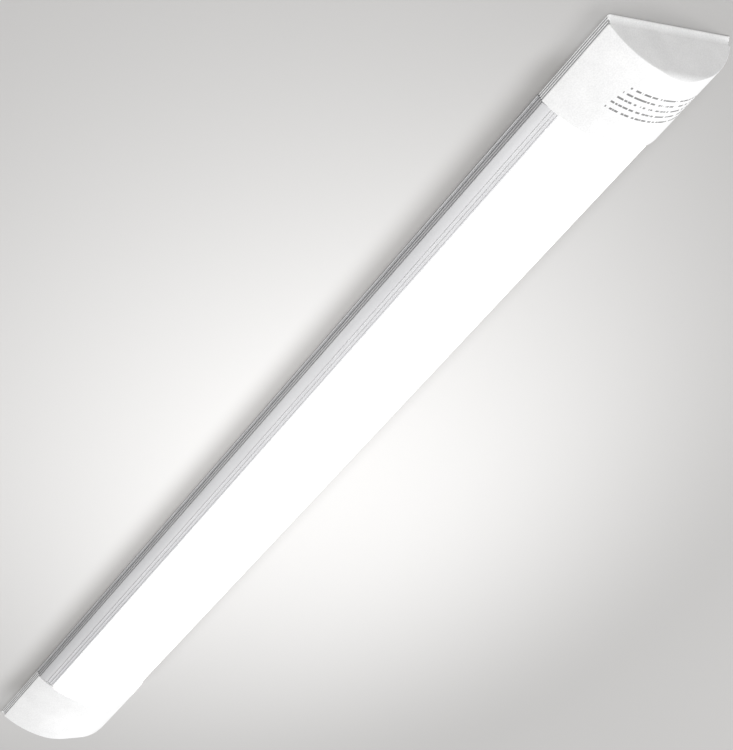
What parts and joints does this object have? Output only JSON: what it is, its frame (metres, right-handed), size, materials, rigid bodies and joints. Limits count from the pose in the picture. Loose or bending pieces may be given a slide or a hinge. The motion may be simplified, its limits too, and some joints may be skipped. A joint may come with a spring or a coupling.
{
  "type": "led strip batten",
  "caption": "Slim linear ceiling light: extruded aluminium base, arched opal diffuser, moulded end caps, inner light board and driver, sliding back clips.",
  "frame": {"origin": "middle of the mounting plane, on the centre line of the back", "axes": "+X along the batten towards the driver end, +Y across, +Z out of the mounting surface towards the light side"},
  "size_m": [0.6, 0.075, 0.025],
  "materials": {
    "satin_aluminium": "extruded, satin anodised",
    "opal_diffuser": "extruded opal polycarbonate",
    "white_moulding": "injection moulded, fine matte",
    "zinc_steel": "bright zinc plated",
    "spring_steel": "stainless spring sheet, stamped",
    "white_soldermask": "white solder mask on aluminium board",
    "led_phosphor": "yellow phosphor in a white package",
    "green_board": "green solder mask on glass fibre board",
    "cream_nylon": "moulded nylon",
    "ferrite": "sintered ferrite",
    "yellow_tape": "polyester tape winding",
    "capacitor_sleeve": "shrunk plastic sleeve",
    "film_case": "potted plastic case",
    "black_epoxy": "moulded epoxy",
    "brown_fuse": "ceramic body",
    "blue_epoxy": "dipped epoxy",
    "brass_sleeve": "nickel-free turned brass",
    "black_rubber": "moulded rubber",
    "brown_pvc": "extruded insulation",
    "blue_pvc": "extruded insulation",
    "red_pvc": "extruded insulation",
    "black_pvc": "extruded insulation",
    "green_yellow_pvc": "extruded insulation",
    "tinned_copper": "tinned, stamped"
  },
  "bodies": {
    "batten": {"base_extrusion": "satin_aluminium", "diffuser": "opal_diffuser", "end_cap_driver": "white_moulding", "end_cap_mains": "white_moulding", "cap_screws": "zinc_steel", "led_board": "white_soldermask", "led_row_left": "led_phosphor", "led_row_right": "led_phosphor", "led_connector": "cream_nylon", "board_screws": "zinc_steel", "driver_board": "green_board", "driver_screws": "zinc_steel", "transformer_core": "ferrite", "transformer_winding": "yellow_tape", "input_capacitor": "capacitor_sleeve", "output_capacitor": "capacitor_sleeve", "film_capacitor": "film_case", "filter_choke": "black_epoxy", "fuse": "brown_fuse", "varistor": "blue_epoxy", "rectifier": "black_epoxy", "control_chip": "black_epoxy", "input_connector": "cream_nylon", "output_connector": "cream_nylon", "terminal_block": "cream_nylon", "terminal_sleeves": "brass_sleeve", "terminal_screws": "zinc_steel", "block_screw": "zinc_steel", "cable_grommet": "black_rubber", "live_wire": "brown_pvc", "neutral_wire": "blue_pvc", "positive_wire": "red_pvc", "negative_wire": "black_pvc", "earth_wire": "green_yellow_pvc", "earth_ring": "tinned_copper", "earth_screw": "zinc_steel"},
    "clip_a": {"mounting_clip_a": "spring_steel"},
    "clip_b": {"mounting_clip_b": "spring_steel"}
  },
  "joints": [
    {"name": "clip_a_slide", "type": "slide", "parent": "batten", "child": "clip_a", "axis": [1, 0, 0], "range_m": [-0.07, 0.07]},
    {"name": "clip_b_slide", "type": "slide", "parent": "batten", "child": "clip_b", "axis": [1, 0, 0], "range_m": [-0.07, 0.07]}
  ]
}
